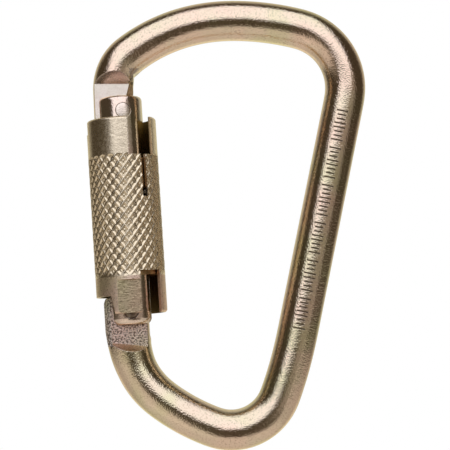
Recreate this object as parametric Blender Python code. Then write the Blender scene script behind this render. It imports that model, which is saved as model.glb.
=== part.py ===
"""Twist-lock steel carabiner: bent-bar frame, hinged gate and spring-loaded locking sleeve.

Metres, +Z up along the load axis, +X towards the spine, +Y away from the front.
The origin is the seat of the upper bow, where the anchor bears on the bar.
"""

import math

import bmesh
import bpy
from mathutils import Matrix, Vector

for old in list(bpy.data.objects):
    bpy.data.objects.remove(old, do_unlink=True)

MM = 0.001

# Driving dimensions, in millimetres and degrees.

# Frame bar and its centreline, as arcs from the top of the upper bow.
BAR_R = 5.05
BAR_SIDES = 28
BOW_TOP_X = -0.27
BOW_TOP_Z = 5.05
RIGHT_BOW_R = 68.3
RIGHT_BOW_TURN = 14.1
RIGHT_CORNER_R = 15.4
RIGHT_CORNER_TURN = 87.4
SPINE_LEN = 59.8
SPINE_END_R = 110.0
SPINE_END_TURN = 8.4
FOOT_R = 12.9
FOOT_TURN = 90.2
LOWER_BOW_R = 50.3
LOWER_BOW_TURN = 17.0
HEEL_R = 19.7
HEEL_TURN = 33.3
HINGE_END_R = 26.3
HINGE_END_TURN = 15.85
LEFT_BOW_R = 45.6
LEFT_BOW_TURN = 11.85
LEFT_RISE_R = 40.9
LEFT_RISE_TURN = 25.75
NOSE_CORNER_R = 10.8
NOSE_CORNER_TURN = 56.15
NOSE_LEN = 9.9
ARC_STEP = 2.2

# Gate line: the hinge pin's centre and the lean of the gate axis from vertical.
HINGE_X = -25.27
HINGE_Z = -68.39
GATE_LEAN = 3.75

# Heights below are along the gate axis, measured up from the hinge pin.
# Nose hook. The bar swells over a few centreline points towards either end.
NOSE_BAR_R = 5.2
NOSE_SWELL = 5
HOOK_HALF = 2.0
HOOK_TIP_Z = 45.9
NOSE_FLAT_Z = 57.15
NOSE_FLAT_TILT = -0.065
NOSE_RUNOUT_Z = 60.3
NOTCH_R = 2.12
# Inboard face of the nose, milled flat, and its two bevelled edges above the gate.
INBOARD_TIP_X = 2.75
INBOARD_TOP_X = 3.92
INBOARD_TOP_Z = 59.25
INBOARD_END_X = 6.9
INBOARD_END_Z = 60.8
BEVEL_FROM_Z = 53.1
BEVEL_TO_Z = 57.6
BEVEL_X = 2.75
BEVEL_SLOPE = 0.31
# Hinge tang.
TANG_HALF = 2.75
TANG_BAR_R = 5.6
TANG_END_R = 5.5
TANG_SWELL = 5
TANG_X = -1.4
TANG_FLAT_Z = -8.2
TANG_FLAT_TILT = -0.16
TANG_RUNOUT_DROP = 2.2
TANG_TOP_R = 4.6
TANG_HEEL_R = 7.35
TANG_ROUND_R = 3.1
TANG_EDGE_X = -7.05
TANG_BACK_X = 3.98
CAM_RISE = 1.0
CAM_TURN = 38.0

# Gate.
GATE_R = 5.5
GATE_TOP_Z = 53.85
GATE_BOTTOM_Z = -3.2
GATE_TOP_SLOT_HALF = 2.28
GATE_TOP_SLOT_Z = 45.2
GATE_TOP_WALL_X = 4.15
GATE_LOW_SLOT_HALF = 3.05
GATE_LOW_SLOT_Z = 10.8
BORE_R = 2.1
BORE_END_Z = 27.0

# Pins.
HINGE_PIN_R = 1.6
HINGE_HOLE_R = 1.7
LATCH_PIN_R = 1.8
LATCH_HOLE_R = 1.9
LATCH_PIN_X = 0.95
LATCH_PIN_Z = 50.0
LATCH_PIN_DOME = 0.15
LATCH_PIN_HALF = 5.3
HINGE_PIN_HALF = 5.15
STOP_PIN_R = 0.8
STOP_PIN_Z = 14.4

# Locking sleeve.
SLEEVE_R = 8.75
SLEEVE_BORE_R = 7.65
SLEEVE_TOP_Z = 48.15
SLEEVE_BOTTOM_Z = -0.5
SLEEVE_TWIST = 126.0
TOP_SLOT_ANGLE = 36.4
TOP_SLOT_W = 7.2
TOP_SLOT_Z = 38.6
SLIT_ANGLE = 38.3
SLIT_W = 1.45
SLIT_Z = 28.1
LOW_SLOT_ANGLE = 40.0
LOW_SLOT_W = 6.0
LOW_SLOT_Z = 9.9
NOTCH_Z = 4.0
TAB_EDGE_X = -4.65
TAB_TOE_X = -3.7
TAB_FLAT_Y = 8.2
TAB_FLAT_Z = 7.7
KEYWAY_HALF = 2.45
KEYWAY_Z = 44.7

# Guide bushes and springs.
BUSH_R = 7.35
BUSH_BORE_R = 5.8
UPPER_BUSH_Z = (30.3, 37.9)
LOWER_BUSH_Z = (8.9, 17.2)
SPRING_R = 6.57
SPRING_WIRE_R = 0.42
SPRING_Z = (18.6, 29.6)
SPRING_TURNS = 6
PLUNGER_R = 1.9
PLUNGER_TOP_Z = 14.4
GATE_SPRING_R = 1.45
GATE_SPRING_WIRE_R = 0.24
GATE_SPRING_Z = (14.9, 26.5)
GATE_SPRING_TURNS = 7


def material(name, colour, roughness, metallic):
    """A plain Principled BSDF material."""
    mat = bpy.data.materials.new(name)
    mat.use_nodes = True
    shader = mat.node_tree.nodes["Principled BSDF"]
    shader.inputs["Base Color"].default_value = (*colour, 1.0)
    shader.inputs["Roughness"].default_value = roughness
    shader.inputs["Metallic"].default_value = metallic
    mat.diffuse_color = (*colour, 1.0)
    return mat


# Frame of the gate: its origin is on the hinge axis and its Z runs up the gate.
GATE_FRAME = Matrix.Translation(Vector((HINGE_X * MM, 0.0, HINGE_Z * MM))) @ Matrix.Rotation(
    math.radians(-GATE_LEAN), 4, "Y"
)


def add_object(name, bm, mat, place=None):
    """Turn a bmesh in millimetres into an object in metres."""
    bmesh.ops.recalc_face_normals(bm, faces=bm.faces[:])
    mesh = bpy.data.meshes.new(name)
    bmesh.ops.scale(bm, vec=(MM, MM, MM), verts=bm.verts[:])
    bm.to_mesh(mesh)
    bm.free()
    mesh.materials.append(mat)
    obj = bpy.data.objects.new(name, mesh)
    bpy.context.scene.collection.objects.link(obj)
    if place is not None:
        obj.matrix_world = place
    return obj


def loft(rings, closed=False):
    """Skin a list of equal point rings, capped at both ends unless it closes on itself."""
    bm = bmesh.new()
    loops = [[bm.verts.new(point) for point in ring] for ring in rings]
    count = len(loops[0])
    spans = list(zip(loops, loops[1:]))
    if closed:
        spans.append((loops[-1], loops[0]))
    for low, high in spans:
        for i in range(count):
            j = (i + 1) % count
            bm.faces.new((low[i], low[j], high[j], high[i]))
    if not closed:
        bm.faces.new(list(reversed(loops[0])))
        bm.faces.new(loops[-1])
    return bm


def tube(path, radii, sides):
    """Sweep a round section along a path, carrying the section without twist."""
    rings = []
    side = None
    for i, point in enumerate(path):
        ahead = path[min(i + 1, len(path) - 1)]
        behind = path[max(i - 1, 0)]
        tangent = (ahead - behind).normalized()
        if side is None:
            side = Vector((0, 1, 0)) if abs(tangent.y) < 0.9 else Vector((1, 0, 0))
        side = (side - tangent * side.dot(tangent)).normalized()
        other = tangent.cross(side)
        radius = radii[i] if isinstance(radii, list) else radii
        ring = []
        for k in range(sides):
            a = 2 * math.pi * k / sides
            ring.append(point + side * (radius * math.cos(a)) + other * (radius * math.sin(a)))
        rings.append(ring)
    return loft(rings)


def turned(profile, segments):
    """Turn a closed profile of (radius, z) about the Z axis into a ring."""
    rings = []
    for k in range(segments):
        a = 2 * math.pi * k / segments
        rings.append([Vector((r * math.cos(a), r * math.sin(a), z)) for r, z in profile])
    return loft(rings, closed=True)


def rod(profile, segments, offset_x=0.0):
    """A solid of revolution from stations of (radius, z), capped flat at both ends."""
    rings = []
    for r, z in profile:
        ring = []
        for k in range(segments):
            a = 2 * math.pi * k / segments
            ring.append(Vector((offset_x + r * math.cos(a), r * math.sin(a), z)))
        rings.append(ring)
    return loft(rings)


def prism(outline, low, high, axis="Y"):
    """Extrude a flat outline: (x, z) points along Y, or (y, z) points along X."""
    rings = []
    for level in (low, high):
        if axis == "Y":
            rings.append([Vector((a, level, b)) for a, b in outline])
        else:
            rings.append([Vector((level, a, b)) for a, b in outline])
    return loft(rings)


def box(low, high):
    """A box between two corners."""
    outline = [(low[0], low[2]), (high[0], low[2]), (high[0], high[2]), (low[0], high[2])]
    return prism(outline, low[1], high[1])


def cylinder_y(radius, x, z, low, high, segments=24):
    """A cylinder along Y."""
    outline = []
    for k in range(segments):
        a = 2 * math.pi * k / segments
        outline.append((x + radius * math.cos(a), z + radius * math.sin(a)))
    return prism(outline, low, high)


def polar(radius, angle):
    """A point (x, z) at an angle in degrees from +Z towards +X."""
    a = math.radians(angle)
    return radius * math.sin(a), radius * math.cos(a)


def coil_point(radius, angle, z):
    """A point about the Z axis at an angle in degrees from the front (-Y) towards +X."""
    a = math.radians(angle)
    return Vector((radius * math.sin(a), -radius * math.cos(a), z))


def around(angle):
    """Turn from the front (-Y) towards +X by an angle in degrees."""
    return Matrix.Rotation(math.radians(angle), 4, "Z")


def turned_by(bm, matrix):
    """Rotate a bmesh about the gate axis."""
    bmesh.ops.transform(bm, matrix=matrix, verts=bm.verts[:])
    return bm


def carve(obj, bm, operation="DIFFERENCE"):
    """Apply one Boolean to an object; the tool is given in the object's own frame."""
    tool = add_object("tool", bm, obj.data.materials[0], obj.matrix_world.copy())
    tool.hide_render = True
    tool.display_type = "WIRE"
    mod = obj.modifiers.new("cut", "BOOLEAN")
    mod.operation = operation
    mod.solver = "EXACT"
    mod.object = tool
    bpy.context.view_layer.update()
    graph = bpy.context.evaluated_depsgraph_get()
    mesh = bpy.data.meshes.new_from_object(obj.evaluated_get(graph))
    obj.modifiers.clear()
    obj.data = mesh
    bpy.data.objects.remove(tool, do_unlink=True)
    return obj


def smooth(obj, angle=32.0):
    """Weld stray points and shade round pieces smooth."""
    bm = bmesh.new()
    bm.from_mesh(obj.data)
    bmesh.ops.remove_doubles(bm, verts=bm.verts[:], dist=0.000002)
    bmesh.ops.dissolve_degenerate(bm, dist=0.000001, edges=bm.edges[:])
    bm.to_mesh(obj.data)
    bm.free()
    obj.data.shade_smooth()
    obj.data.set_sharp_from_angle(angle=math.radians(angle))


# ---------------------------------------------------------------- materials
BAR_METAL = material("plated_bar_steel", (0.60, 0.50, 0.40), 0.28, 1.0)
GATE_METAL = material("plated_gate_steel", (0.58, 0.49, 0.41), 0.22, 1.0)
SLEEVE_METAL = material("knurled_sleeve_steel", (0.47, 0.39, 0.29), 0.42, 1.0)
HINGE_PIN_METAL = material("hinge_pin_steel", (0.52, 0.45, 0.38), 0.3, 1.0)
LATCH_PIN_METAL = material("latch_pin_steel", (0.62, 0.53, 0.44), 0.25, 1.0)
STOP_PIN_METAL = material("stop_pin_steel", (0.45, 0.43, 0.4), 0.35, 1.0)
UPPER_BUSH_BRONZE = material("upper_bush_bronze", (0.30, 0.17, 0.08), 0.45, 1.0)
LOWER_BUSH_BRONZE = material("lower_bush_bronze", (0.28, 0.17, 0.09), 0.45, 1.0)
SLEEVE_SPRING_WIRE = material("sleeve_spring_wire", (0.5, 0.48, 0.45), 0.3, 1.0)
PLUNGER_STEEL = material("plunger_steel", (0.4, 0.38, 0.36), 0.35, 1.0)
GATE_SPRING_WIRE = material("gate_spring_wire", (0.5, 0.48, 0.45), 0.3, 1.0)


# ---------------------------------------------------------------- frame
def arc_path(start, heading, pieces):
    """Follow straights and arcs; headings turn clockwise from +Z in the XZ plane."""
    points = [Vector((start[0], 0, start[1]))]
    x, z = start
    h = math.radians(heading)
    for kind, size, turn in pieces:
        if kind == "line":
            n = max(1, round(size / (ARC_STEP * 3)))
            for i in range(1, n + 1):
                d = size * i / n
                points.append(Vector((x + d * math.sin(h), 0, z + d * math.cos(h))))
            x += size * math.sin(h)
            z += size * math.cos(h)
        else:
            t = math.radians(turn)
            r = size if t > 0 else -size
            cx = x + r * math.cos(h)
            cz = z - r * math.sin(h)
            n = max(3, round(abs(size * t) / ARC_STEP), round(abs(turn) / 7.0))
            for i in range(1, n + 1):
                b = h + t * i / n
                points.append(Vector((cx - r * math.cos(b), 0, cz + r * math.sin(b))))
            h += t
            x = cx - r * math.cos(h)
            z = cz + r * math.sin(h)
    return points


bow_top = (BOW_TOP_X, BOW_TOP_Z)
to_nose = arc_path(
    bow_top,
    270.0,
    [
        ("arc", LEFT_BOW_R, -LEFT_BOW_TURN),
        ("arc", LEFT_RISE_R, -LEFT_RISE_TURN),
        ("arc", NOSE_CORNER_R, -NOSE_CORNER_TURN),
        ("line", NOSE_LEN, 0),
    ],
)
to_hinge = arc_path(
    bow_top,
    90.0,
    [
        ("arc", RIGHT_BOW_R, RIGHT_BOW_TURN),
        ("arc", RIGHT_CORNER_R, RIGHT_CORNER_TURN),
        ("line", SPINE_LEN, 0),
        ("arc", SPINE_END_R, SPINE_END_TURN),
        ("arc", FOOT_R, FOOT_TURN),
        ("arc", LOWER_BOW_R, LOWER_BOW_TURN),
        ("arc", HEEL_R, HEEL_TURN),
        ("arc", HINGE_END_R, HINGE_END_TURN),
    ],
)
centreline = list(reversed(to_nose)) + to_hinge[1:]
radii = [BAR_R] * len(centreline)
for i in range(NOSE_SWELL):
    radii[i] = NOSE_BAR_R + (BAR_R - NOSE_BAR_R) * i / NOSE_SWELL
for i in range(TANG_SWELL):
    radii[-1 - i] = TANG_END_R + (BAR_R - TANG_END_R) * i / TANG_SWELL

frame = add_object("frame", tube(centreline, radii, BAR_SIDES), BAR_METAL)


def carve_in_gate_frame(obj, bm, operation="DIFFERENCE"):
    """Cut a world-placed object with a tool that is given in the gate's frame."""
    placed = GATE_FRAME.copy()
    placed.translation = placed.translation / MM
    bmesh.ops.transform(bm, matrix=placed, verts=bm.verts[:])
    return carve(obj, bm, operation)


def tang_outline():
    """Side outline of the tang about the hinge pin: back, cam for the plunger, heel."""
    outline = [(-9.0, -8.0), (7.0, -8.0), (7.0, 0.0), (5.4, 1.6)]
    steps = 14
    for i in range(steps + 1):
        phi = 46.0 - 76.0 * i / steps
        rise = CAM_RISE * min(max(phi / CAM_TURN, 0.0), 1.1)
        outline.append(polar(TANG_TOP_R + rise, phi))
    for i in range(1, 6):
        outline.append(polar(TANG_TOP_R + (TANG_HEEL_R - TANG_TOP_R) * i / 5, -30.0 - 32.0 * i / 5))
    outline.append(polar(TANG_HEEL_R, -73.0))
    outline.append((-9.0, 2.1))
    return outline


def flat_cutter(sign, half, edge, tilt, run, slope_y, far):
    """Waste beside one milled flat, from its far end to a run-out whose edge may be tilted."""
    rings = []
    for x in (-9.0, 7.0):
        z = edge + tilt * x
        outline = [(half, far), (half, z), (slope_y, z + run), (9.0, z + run), (9.0, far)]
        rings.append([Vector((x, sign * y, level)) for y, level in outline])
    return loft(rings)


def tang_round_cutter(sign):
    """Waste outside the rounded outboard edge of the tang, fading out below the flats."""
    centre = TANG_ROUND_R + TANG_EDGE_X
    edge = []
    for angle in (25.0, 42.0, 59.0, 76.0):
        a = math.radians(angle)
        edge.append((centre - TANG_ROUND_R * math.sin(a), TANG_ROUND_R * math.cos(a)))
    rings = []
    for z, out in ((8.0, 0.0), (TANG_FLAT_Z, 0.0), (TANG_FLAT_Z - 3.5, 1.1)):
        outline = [(x - out, y + out) for x, y in edge]
        outline += [(-12.0, edge[-1][1] + out), (-12.0, 9.0), (edge[0][0] - out, 9.0)]
        rings.append([Vector((x, sign * y, z)) for x, y in outline])
    return loft(rings)


def bevel_cutter():
    """Waste beyond the two 45-degree bevels between the nose flats and the inboard face."""
    rings = []
    for z in (BEVEL_FROM_Z, BEVEL_TO_Z):
        x = BEVEL_X + BEVEL_SLOPE * (z - NOSE_FLAT_Z)
        wide = HOOK_HALF + 0.5
        outline = [(x - 0.5, wide), (x + HOOK_HALF, 0.0), (x - 0.5, -wide), (9.0, -wide), (9.0, wide)]
        rings.append([Vector((px, py, z)) for px, py in outline])
    return loft(rings)


# The tang is a short round bar, limited by a cam-shaped outline about the hinge pin.
tang_bar = rod([(TANG_BAR_R, -7.9), (TANG_BAR_R, 7.0)], 32, TANG_X)
tang = add_object("tang_blank", tang_bar, BAR_METAL, GATE_FRAME)
carve(tang, prism(tang_outline(), -8.0, 8.0), "INTERSECT")
tang_bm = bmesh.new()
tang_bm.from_mesh(tang.data)
bmesh.ops.transform(tang_bm, matrix=GATE_FRAME, verts=tang_bm.verts[:])
bmesh.ops.scale(tang_bm, vec=(1 / MM, 1 / MM, 1 / MM), verts=tang_bm.verts[:])
bpy.data.objects.remove(tang, do_unlink=True)
carve(frame, tang_bm, "UNION")

# Mill both flats of the hinge end and the nose, with sloped run-outs.
nose_run = NOSE_RUNOUT_Z - NOSE_FLAT_Z
for sign in (-1, 1):
    low_flat = flat_cutter(sign, TANG_HALF, TANG_FLAT_Z, TANG_FLAT_TILT, -TANG_RUNOUT_DROP, 5.7, 9.0)
    carve_in_gate_frame(frame, low_flat)
    nose_flat = flat_cutter(sign, HOOK_HALF, NOSE_FLAT_Z, NOSE_FLAT_TILT, nose_run, 5.35, 40.0)
    carve_in_gate_frame(frame, nose_flat)
    carve_in_gate_frame(frame, tang_round_cutter(sign))
tang_back = [(TANG_BACK_X, 7.0), (TANG_BACK_X, -6.0), (4.8, -8.8), (8.0, -8.8), (8.0, 7.0)]
carve_in_gate_frame(frame, prism(tang_back, -6.0, 6.0))
carve_in_gate_frame(frame, cylinder_y(HINGE_HOLE_R, 0.0, 0.0, -8.0, 8.0))

# The hook: a notch open to the inside, whose floor keeps a raised lip under the latch pin.
notch_outline = []
for i in range(11):
    notch_x, notch_z = polar(NOTCH_R, -18.0 * i)
    notch_outline.append((LATCH_PIN_X + notch_x, LATCH_PIN_Z + notch_z))
notch_outline.append((8.0, LATCH_PIN_Z - NOTCH_R - 0.12))
notch_outline.append((8.0, LATCH_PIN_Z + NOTCH_R + 0.5))
carve_in_gate_frame(frame, prism(notch_outline, -6.0, 6.0))
# The inboard face of the nose, from the tip to a sharp corner under the bow.
inboard_outline = [
    (INBOARD_TIP_X, HOOK_TIP_Z - 0.5),
    (INBOARD_TOP_X, INBOARD_TOP_Z),
    (INBOARD_END_X, INBOARD_END_Z),
    (9.0, INBOARD_END_Z),
    (9.0, HOOK_TIP_Z - 0.5),
]
carve_in_gate_frame(frame, prism(inboard_outline, -7.0, 7.0))
carve_in_gate_frame(frame, bevel_cutter())
# The tip's inner lower corner is eased so that the gate closes past it.
tip_outline = [
    (1.6, HOOK_TIP_Z - 2.0),
    (8.0, HOOK_TIP_Z - 2.0),
    (8.0, HOOK_TIP_Z + 1.4),
    (2.8, HOOK_TIP_Z + 1.0),
]
carve_in_gate_frame(frame, prism(tip_outline, -6.0, 6.0))
smooth(frame)

# ---------------------------------------------------------------- gate
gate_profile = [
    (GATE_R - 1.0, GATE_BOTTOM_Z),
    (GATE_R - 0.4, GATE_BOTTOM_Z + 0.4),
    (GATE_R, GATE_BOTTOM_Z + 1.3),
    (GATE_R, GATE_TOP_Z - 1.1),
    (GATE_R - 0.3, GATE_TOP_Z - 0.4),
    (GATE_R - 1.0, GATE_TOP_Z),
]
gate = add_object("gate", rod(gate_profile, 40), GATE_METAL, GATE_FRAME)
top_slot = box((-7, -GATE_TOP_SLOT_HALF, GATE_TOP_SLOT_Z), (GATE_TOP_WALL_X, GATE_TOP_SLOT_HALF, 60))
carve(gate, top_slot)
carve(gate, box((-7, -GATE_LOW_SLOT_HALF, -9), (7, GATE_LOW_SLOT_HALF, GATE_LOW_SLOT_Z)))
carve(gate, rod([(BORE_R, 5.0), (BORE_R, BORE_END_Z)], 24))
carve(gate, cylinder_y(HINGE_HOLE_R, 0.0, 0.0, -8.0, 8.0))
carve(gate, cylinder_y(LATCH_HOLE_R, LATCH_PIN_X, LATCH_PIN_Z, -8.0, 8.0))
carve(gate, cylinder_y(STOP_PIN_R + 0.1, 0.0, STOP_PIN_Z, 2.75, 8.0, 16))
# Small blind hole for the lower leg of the sleeve spring.
leg_low_z = SPRING_Z[0] + SPRING_WIRE_R
leg_hole = cylinder_y(SPRING_WIRE_R + 0.2, 0.0, leg_low_z, 4.3, 8.0, 12)
carve(gate, turned_by(leg_hole, around(60.0)))
smooth(gate)

# ---------------------------------------------------------------- pins
hinge_rod = cylinder_y(HINGE_PIN_R, 0.0, 0.0, -HINGE_PIN_HALF, HINGE_PIN_HALF)
hinge_pin = add_object("hinge_pin", hinge_rod, HINGE_PIN_METAL, GATE_FRAME)
smooth(hinge_pin)


def domed_pin(radius, half, dome, segments):
    """A pin along Y with slightly domed ends."""
    rings = []
    stations = [
        (0.35, half + dome),
        (0.75, half + dome * 0.6),
        (1.0, half),
        (1.0, -half),
        (0.75, -half - dome * 0.6),
        (0.35, -half - dome),
    ]
    for share, y in stations:
        ring = []
        for k in range(segments):
            a = 2 * math.pi * k / segments
            ring.append(Vector((share * radius * math.cos(a), y, share * radius * math.sin(a))))
        rings.append(ring)
    return loft(rings)


latch_frame = GATE_FRAME @ Matrix.Translation(Vector((LATCH_PIN_X * MM, 0, LATCH_PIN_Z * MM)))
latch_rod = domed_pin(LATCH_PIN_R, LATCH_PIN_HALF, LATCH_PIN_DOME, 24)
latch_pin = add_object("latch_pin", latch_rod, LATCH_PIN_METAL, latch_frame)
smooth(latch_pin)

stop_frame = GATE_FRAME @ Matrix.Translation(Vector((0, 0, STOP_PIN_Z * MM)))
stop_rod = cylinder_y(STOP_PIN_R, 0.0, 0.0, 2.9, 7.1, 16)
stop_pin = add_object("stop_pin", stop_rod, STOP_PIN_METAL, stop_frame)
smooth(stop_pin)

# ---------------------------------------------------------------- locking sleeve
sleeve_profile = [
    (SLEEVE_BORE_R, SLEEVE_BOTTOM_Z),
    (SLEEVE_R - 0.35, SLEEVE_BOTTOM_Z),
    (SLEEVE_R, SLEEVE_BOTTOM_Z + 0.35),
    (SLEEVE_R, SLEEVE_TOP_Z - 0.55),
    (SLEEVE_R - 0.2, SLEEVE_TOP_Z - 0.15),
    (SLEEVE_R - 0.55, SLEEVE_TOP_Z),
    (SLEEVE_BORE_R, SLEEVE_TOP_Z),
]
sleeve = add_object("lock_sleeve", turned(sleeve_profile, 64), SLEEVE_METAL, GATE_FRAME)
top_slot = box((-TOP_SLOT_W / 2, -12, TOP_SLOT_Z), (TOP_SLOT_W / 2, -4, 52))
carve(sleeve, turned_by(top_slot, around(TOP_SLOT_ANGLE)))
slit = box((-SLIT_W / 2, -12, SLIT_Z), (SLIT_W / 2, -4, TOP_SLOT_Z + 1))
carve(sleeve, turned_by(slit, around(SLIT_ANGLE)))
low_slot = box((-LOW_SLOT_W / 2, -12, -3), (LOW_SLOT_W / 2, -4, LOW_SLOT_Z))
carve(sleeve, turned_by(low_slot, around(LOW_SLOT_ANGLE)))
notch = [(-12, NOTCH_Z), (TAB_EDGE_X, NOTCH_Z), (TAB_TOE_X, -1.2), (-12, -1.2)]
carve(sleeve, prism(notch, -12, 12))
carve(sleeve, box((-6.0, -12, -2), (4.0, -TAB_FLAT_Y, TAB_FLAT_Z)))
# Keyway that lets the nose hook pass with the sleeve at rest.
carve(sleeve, box((-12, -KEYWAY_HALF, KEYWAY_Z), (-5, KEYWAY_HALF, 52)))
smooth(sleeve)

# ---------------------------------------------------------------- guide bushes
def bush_ring(low, high):
    """A plain ring between the gate and the sleeve."""
    profile = [(BUSH_BORE_R, low), (BUSH_R, low), (BUSH_R, high), (BUSH_BORE_R, high)]
    return turned(profile, 40)


upper_bush = add_object("upper_bush", bush_ring(*UPPER_BUSH_Z), UPPER_BUSH_BRONZE, GATE_FRAME)
smooth(upper_bush)
lower_bush = add_object("lower_bush", bush_ring(*LOWER_BUSH_Z), LOWER_BUSH_BRONZE, GATE_FRAME)
# Window in which the stop pin runs: it limits the twist and holds the sleeve on the gate.
# The pin starts at its one end at rest and reaches the other end at the full twist.
window_half = STOP_PIN_R + 0.3
margin = math.degrees(window_half / SPRING_R)
window_from = 180.0 - margin
window_to = 180.0 + SLEEVE_TWIST + margin
window_section = [
    (4.8, STOP_PIN_Z - window_half),
    (9.0, STOP_PIN_Z - window_half),
    (9.0, STOP_PIN_Z + window_half),
    (4.8, STOP_PIN_Z + window_half),
]
window_steps = 16
window_rings = []
for i in range(window_steps + 1):
    angle = window_from + (window_to - window_from) * i / window_steps
    window_rings.append([coil_point(r, angle, z) for r, z in window_section])
carve(lower_bush, loft(window_rings))
smooth(lower_bush)

# ---------------------------------------------------------------- sleeve spring
low_angle = 180.0 + 60.0
high_angle = SLIT_ANGLE + 360.0 * SPRING_TURNS
low_z = SPRING_Z[0] + SPRING_WIRE_R
high_z = SPRING_Z[1] - SPRING_WIRE_R
coil = [coil_point(4.65, low_angle, low_z), coil_point(SPRING_R - 0.7, low_angle, low_z)]
coil_steps = 18 * SPRING_TURNS
for i in range(coil_steps + 1):
    share = i / coil_steps
    angle = low_angle + 8.0 + (high_angle - 8.0 - low_angle - 8.0) * share
    coil.append(coil_point(SPRING_R, angle, low_z + (high_z - low_z) * share))
coil.append(coil_point(SPRING_R + 0.7, high_angle, high_z))
coil.append(coil_point(8.35, high_angle, high_z))
sleeve_wire = tube(coil, SPRING_WIRE_R, 6)
sleeve_spring = add_object("sleeve_spring", sleeve_wire, SLEEVE_SPRING_WIRE, GATE_FRAME)
smooth(sleeve_spring, 70.0)

# ---------------------------------------------------------------- plunger and gate spring
tip_gap = 0.25
plunger_profile = [
    (0.5, TANG_TOP_R + tip_gap),
    (1.2, TANG_TOP_R + tip_gap + 0.25),
    (PLUNGER_R, TANG_TOP_R + tip_gap + 1.0),
    (PLUNGER_R, PLUNGER_TOP_Z),
]
gate_plunger = add_object("gate_plunger", rod(plunger_profile, 20), PLUNGER_STEEL, GATE_FRAME)
smooth(gate_plunger)

gate_coil = []
gate_steps = 10 * GATE_SPRING_TURNS
for i in range(gate_steps + 1):
    share = i / gate_steps
    z = GATE_SPRING_Z[0] + (GATE_SPRING_Z[1] - GATE_SPRING_Z[0]) * share
    gate_coil.append(coil_point(GATE_SPRING_R, 360.0 * GATE_SPRING_TURNS * share, z))
gate_wire = tube(gate_coil, GATE_SPRING_WIRE_R, 6)
gate_spring = add_object("gate_spring", gate_wire, GATE_SPRING_WIRE, GATE_FRAME)
smooth(gate_spring, 70.0)
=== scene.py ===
"""Looks of the twist-lock carabiner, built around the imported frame."""

import math

import bmesh
import bpy
import numpy as np
from mathutils import Matrix, Vector


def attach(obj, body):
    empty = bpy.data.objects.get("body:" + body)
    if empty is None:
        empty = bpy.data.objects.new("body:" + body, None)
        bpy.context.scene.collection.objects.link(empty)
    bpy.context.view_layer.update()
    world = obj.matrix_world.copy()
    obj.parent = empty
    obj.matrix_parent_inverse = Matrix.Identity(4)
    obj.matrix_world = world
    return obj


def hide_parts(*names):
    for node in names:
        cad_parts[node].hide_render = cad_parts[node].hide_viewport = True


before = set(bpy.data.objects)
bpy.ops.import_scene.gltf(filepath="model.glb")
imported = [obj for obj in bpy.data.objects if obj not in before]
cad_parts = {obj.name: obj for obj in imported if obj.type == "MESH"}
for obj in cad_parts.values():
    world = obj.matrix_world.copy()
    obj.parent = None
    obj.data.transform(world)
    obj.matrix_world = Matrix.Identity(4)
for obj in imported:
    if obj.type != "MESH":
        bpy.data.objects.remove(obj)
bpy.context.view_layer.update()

MM = 0.001

# Geometry of the part, in millimetres and degrees. It follows the CAD model, except that the
# two rivets and the gate's hinge hole are drawn slightly larger.
BAR_R = 5.05
NOSE_BAR_R = 5.2
TANG_BAR_R = 5.6
TANG_END_R = 5.5
HINGE_X = -25.27
HINGE_Z = -68.39
GATE_LEAN = 3.75
BOW_TOP = (-0.27, 5.05)
TO_NOSE = [
    ("arc", 45.6, -11.85),
    ("arc", 40.9, -25.75),
    ("arc", 10.8, -56.15),
    ("line", 9.9, 0),
]
TO_HINGE = [
    ("arc", 68.3, 14.1),
    ("arc", 15.4, 87.4),
    ("line", 59.8, 0),
    ("arc", 110.0, 8.4),
    ("arc", 12.9, 90.2),
    ("arc", 50.3, 17.0),
    ("arc", 19.7, 33.3),
    ("arc", 26.3, 15.85),
]
HOOK_HALF = 2.0
HOOK_TIP_Z = 45.9
NOSE_FLAT_Z = 57.15
NOTCH_R = 2.12
TANG_HALF = 2.75
TANG_FLAT_Z = -8.2
TANG_BORE_R = 1.7
CAM_R = 4.6
HEEL_R = 7.35
SWING = 38.0
GATE_R = 5.5
GATE_Z = (-3.2, 53.85)
GATE_BORE_R = 2.1
GATE_BORE_Z = (5.0, 27.0)
NOSE_SLOT_HALF = 2.28
NOSE_SLOT_Z = 45.2
TANG_SLOT_HALF = 3.05
TANG_SLOT_Z = 10.8
LATCH_R = 1.84
LATCH_HOLE_R = 1.9
HINGE_R = 1.66
HINGE_HOLE_R = 1.85
PIN_X = 0.95
PIN_Z = 50.0
SLEEVE_R = 8.75
SLEEVE_BORE_R = 7.65
SLEEVE_TOP_Z = 48.15
SLEEVE_BOTTOM_Z = -0.5
TOP_SLOT_HALF = 3.6
TOP_SLOT_Z = 38.6
TOP_SLOT_ANGLE = 36.4
LOW_SLOT_HALF = 3.0
LOW_SLOT_Z = 9.9
LOW_SLOT_ANGLE = 40.0
SLIT_HALF = 0.725
SLIT_Z = 28.1
SLIT_ANGLE = 38.3
KEYWAY_HALF = 2.45
KEYWAY_Z = 44.7
TAB_FLAT_Y = 8.2
TAB_FLAT_Z = 7.7
BAND_R = 8.7
KNURL_Z = (8.7, 38.9)
KNURL_STARTS = 25
KNURL_RISE = (3.0, 2.7)
KNURL_DEPTH = 0.3
SPRING_Z = (19.02, 29.18)
SPRING_WIRE_R = 0.42

GATE_FRAME = Matrix.Translation(Vector((HINGE_X * MM, 0, HINGE_Z * MM))) @ Matrix.Rotation(
    math.radians(-GATE_LEAN), 4, "Y"
)

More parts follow.
